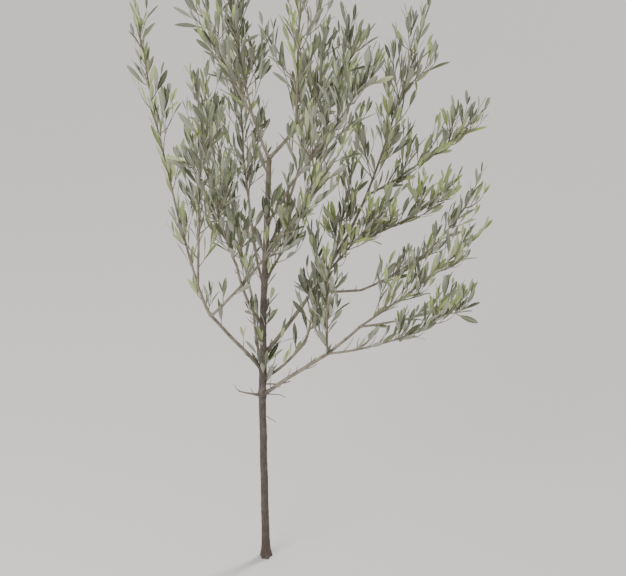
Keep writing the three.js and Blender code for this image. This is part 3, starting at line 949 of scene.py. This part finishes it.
def trunk_relief(limbs, sizes):
    """A function for the height of the trunk's bark: flare, lumps, furrows, grain and collars."""
    collars = []
    for bough in BOUGHS.values():
        if bough.on == "trunk":
            span = Vector(bough.tip) - start_on(limbs, "trunk", bough.at)
            collars.append((bough.at, Vector((span.x, span.y, 0)).normalized()))

    def relief(place, side, t):
        height = TRUNK_HEIGHT * t
        angle = math.atan2(side.y, side.x)
        flare = TRUNK_FLARE * math.exp(-height / FLARE_HEIGHT)
        roots = 1.0
        for reach, lobes, turned in ROOT_LOBES:
            roots += reach * math.sin(lobes * angle + turned)
        upright = Vector([part * scale for part, scale in zip(place, FURROW_SCALE)])
        furrow = 1 - 2 * abs(noise.noise(upright))
        grain = noise.noise(place * GRAIN_SCALE) * GRAIN_STRENGTH
        swell = 0.0
        for at, way in collars:
            facing = max(side.dot(way), 0)
            ring = math.exp(-(((height - at - COLLAR_RISE) / COLLAR_FADE) ** 2))
            swell = max(swell, ring * mix(COLLAR_ROUND, 1, facing**2))
        fade = min(height / RELIEF_FROM, 1)
        rough = layered(place, TRUNK_LUMPS) + furrow * FURROW_STRENGTH + grain
        rough = rough * sizes.relief * fade
        past = max(1 - (1 - t) / TOP_ROUNDING, 0)
        round_off = (math.sqrt(1 - TOP_ROUND_DEPTH * past**2) - 1) * TRUNK_FORK
        return flare * roots + rough + swell * sizes.collar + round_off

    return relief


def bough_relief(name, line, sizes):
    """A function for the height of a bough's bark: a swollen root, lumps and old leaf pairs."""
    number = list(BOUGHS).index(name)
    bough = BOUGHS[name]
    beside = bough.on == "trunk" and bough.at < TRUNK_HEIGHT
    swollen, centre, fades = SIDE_SWELL if beside else END_SWELL

    def relief(place, side, t):
        along = t * line.length
        root = swollen * math.exp(-(((along - centre) / fades) ** 2))
        phase = along / OLD_PAIR_GAP + chance(number, PLACE)
        pair = math.sin(math.pi * phase) ** OLD_PAIR_NARROW
        lumps = layered(place, BOUGH_LUMPS)
        return root + (lumps + OLD_PAIR_STRENGTH * pair) * sizes.bough_relief

    return relief


def twig_radius(shoot, sizes):
    """A function for a shoot's radius: even taper, swellings at leaf pairs and a round tip."""
    if shoot.kind == CUT:
        return lambda t: mix(shoot.root, shoot.end, t)
    length = shoot.line.length
    first = shoot.leaf_from * length

    def radius(t):
        pair = math.cos(math.pi * (t * length - first) / sizes.leaf_gap) ** PAIR_NARROW
        taper = mix(shoot.root, shoot.end, t)
        tip = 1 - TWIG_TIP_ROUND * t**TWIG_TIP_NARROW
        return taper * (1 + PAIR_STRENGTH * pair) * tip

    return radius


class OLIVE_OT_trunk(bpy.types.Operator):
    """Make the trunk with its flare, its collars and the relief of its bark"""

    bl_idname = "olive.trunk"
    bl_label = "Make Trunk"

    SIDES = 40

    def execute(self, context):
        sizes = context.scene.young_olive.limbs
        limbs = plan_limbs(sizes.wander)
        trunk = limbs["trunk"]
        rings = round(TRUNK_HEIGHT / sizes.ring)
        relief = trunk_relief(limbs, sizes)
        bm = bmesh.new()
        for vert in add_limb(bm, trunk.line, trunk.radius_at, self.SIDES, rings, relief):
            vert.co.z = max(vert.co.z, 0)
        material = bark_material(context.scene.young_olive.colours)
        finish_piece(bm, "trunk_bark", [material], "bark", "trunk")
        return {"FINISHED"}


class OLIVE_OT_boughs(bpy.types.Operator):
    """Make each bough as one tapering limb with a swollen root"""

    bl_idname = "olive.boughs"
    bl_label = "Make Boughs"

    SIDES = 16
    RING = 0.0028
    LEAST_RINGS = 6

    def execute(self, context):
        sizes = context.scene.young_olive.limbs
        limbs = plan_limbs(sizes.wander)
        material = young_bark_material(context.scene.young_olive.colours)
        for name in BOUGHS:
            line, radius_at = limbs[name]
            rings = max(self.LEAST_RINGS, round(line.length / self.RING))
            bm = bmesh.new()
            add_limb(bm, line, radius_at, self.SIDES, rings, bough_relief(name, line, sizes))
            finish_piece(bm, f"{name}_bark", [material], "young_bark", f"bough_{name}")
        return {"FINISHED"}


def grow_groups(settings):
    """Each group of shoots: its name, shoots, share of fresh sprays, test of a leaf, and nodes."""
    limbs = plan_limbs(settings.limbs.wander)
    stems = plan_stems(limbs, settings.shoots.wander)
    spaces = Spaces(limbs, stems)
    for seed, (name, stem) in enumerate(stems.items(), start=1):
        shoots = grow_shoots(name, seed, stem, spaces, settings.shoots)
        fits = lambda points, name=name: spaces.own(name, points).all()
        yield name, shoots, MASSES[name].fresh, fits, [f"leaves_{name}"]
    yield "spur", grow_spurs(limbs, settings.shoots), SPUR_FRESH, lambda points: True, []


class OLIVE_OT_twigs(bpy.types.Operator):
    """Make the stem and the twigs of every mass of leaves"""

    bl_idname = "olive.twigs"
    bl_label = "Make Twigs"

    # By the kind of shoot.
    SIDES = (8, 6, 5, 5, 10)
    RING = (0.006, 0.008, 0.009, 0.009, 0.004)
    LEAST_RINGS = 4

    def execute(self, context):
        settings = context.scene.young_olive
        material = young_bark_material(settings.colours)
        for name, shoots, *_, nodes in grow_groups(settings):
            bm = bmesh.new()
            for shoot in shoots:
                line, sides, ring = shoot.line, self.SIDES[shoot.kind], self.RING[shoot.kind]
                rings = max(self.LEAST_RINGS, round(line.length / ring))
                add_limb(bm, line, twig_radius(shoot, settings.shoots), sides, rings)
            finish_piece(bm, f"{name}_twigs", [material], "young_bark", *nodes)
        return {"FINISHED"}


class OLIVE_OT_leaves(bpy.types.Operator):
    """Make the leaves of every mass, in opposite pairs along its shoots"""

    bl_idname = "olive.leaves"
    bl_label = "Make Leaves"

    def execute(self, context):
        settings = context.scene.young_olive
        materials = [leaf_material(name, settings.colours) for name in LEAF_FINISHES]
        templates = {
            (form, shade): leaf_template(form, shade, settings.shoots)
            for form in range(LEAF_FORMS)
            for shade in range(len(SHADES))
        }
        total = 0
        for name, shoots, fresh, fits, nodes in grow_groups(settings):
            leaves = kept_leaves(shoots, settings.shoots, fresh, fits)
            bm = bmesh.new()
            for leaf in leaves:
                stamp(bm, templates[leaf.form, leaf.shade], leaf)
            finish_piece(bm, f"{name}_leaves", materials, "foliage", *nodes)
            total += len(leaves)
        for mesh in templates.values():
            bpy.data.meshes.remove(mesh)
        print("leaves", total)
        if not total:
            raise RuntimeError("no leaf found room to grow")
        return {"FINISHED"}


def add_light(name, kind, place, target, settings):
    light = bpy.data.lights.new(name, kind)
    for setting, value in settings.items():
        setattr(light, setting, value)
    lamp = place_object(name, light)
    lamp.location = place
    lamp.rotation_euler = (Vector(target) - Vector(place)).to_track_quat("-Z", "Y").to_euler()


class OLIVE_OT_stage(bpy.types.Operator):
    """Lay the pale floor, hang the soft lights and set up the camera"""

    bl_idname = "olive.stage"
    bl_label = "Make Stage"

    FLOOR_SIZE = 60
    CROWN = (0.08, 0, 0.85)
    KEY_AT = (1.5, 1.3, 2.9)
    KEY_COLOUR = (1, 0.96, 0.89)
    FILL_AT = (-1.4, -2.0, 2.2)
    FILL_COLOUR = (1, 0.99, 0.96)
    FILL_SIZE = 2.0
    SEE_TO = 200

    def execute(self, context):
        scene, stage = context.scene, context.scene.young_olive.stage
        bm = bmesh.new()
        bmesh.ops.create_grid(bm, x_segments=1, y_segments=1, size=self.FLOOR_SIZE / 2)
        pale = Graph("Pale floor").finish(base_color=tuple(stage.floor), roughness=0.9)
        floor = add_object(bm, "floor", [pale])

        world = bpy.data.worlds.new("Studio")
        world.use_nodes = True
        sky = world.node_tree.nodes["Background"].inputs
        sky["Color"].default_value = (*stage.sky, 1)
        sky["Strength"].default_value = stage.sky_strength
        scene.world = world

        key = {"energy": stage.key_strength, "angle": stage.key_spread, "color": self.KEY_COLOUR}
        add_light("Key", "SUN", self.KEY_AT, self.CROWN, key)
        fill = {"shape": "DISK", "size": self.FILL_SIZE, "energy": stage.fill_power}
        fill["color"] = self.FILL_COLOUR
        add_light("Fill", "AREA", self.FILL_AT, self.CROWN, fill)

        lens = bpy.data.cameras.new("Camera")
        lens.lens = stage.lens
        lens.clip_end = self.SEE_TO
        camera = place_object("Camera", lens)
        camera.location = (stage.eye_side, -stage.eye_away, stage.eye_height)
        camera.rotation_euler = (math.radians(90) - stage.eye_pitch, 0, 0)
        scene.camera = camera
        return {"FINISHED"}


class OLIVE_PT_panel(bpy.types.Panel):
    """Lists the steps that make the tree"""

    bl_idname = "OLIVE_PT_panel"
    bl_label = "Young Olive Tree"
    bl_space_type = "VIEW_3D"
    bl_region_type = "UI"
    bl_category = "Olive"

    def draw(self, context):
        for step in STEPS:
            self.layout.operator(step.bl_idname)
        settings = context.scene.young_olive
        for group in (settings.limbs, settings.shoots, settings.colours, settings.stage):
            box = self.layout.box()
            for name in group.__annotations__:
                box.prop(group, name)


STEPS = (OLIVE_OT_trunk, OLIVE_OT_boughs, OLIVE_OT_twigs, OLIVE_OT_leaves, OLIVE_OT_stage)
GROUPS = (OliveLimbs, OliveShoots, OliveColours, OliveStage, OliveSettings)


def register():
    """Labels every setting by its key and registers the add-on."""
    for group in GROUPS:
        for key, setting in group.__annotations__.items():
            setting.keywords["name"] = key.replace("_", " ").title()
    for each in (*GROUPS, *STEPS, OLIVE_PT_panel):
        bpy.utils.register_class(each)
    bpy.types.Scene.young_olive = PointerProperty(type=OliveSettings)


def unregister():
    del bpy.types.Scene.young_olive
    for each in reversed((*GROUPS, *STEPS, OLIVE_PT_panel)):
        bpy.utils.unregister_class(each)


def main():
    register()
    bpy.ops.olive.trunk()
    bpy.ops.olive.boughs()
    bpy.ops.olive.twigs()
    bpy.ops.olive.leaves()
    bpy.ops.olive.stage()


if __name__ == "__main__":
    main()
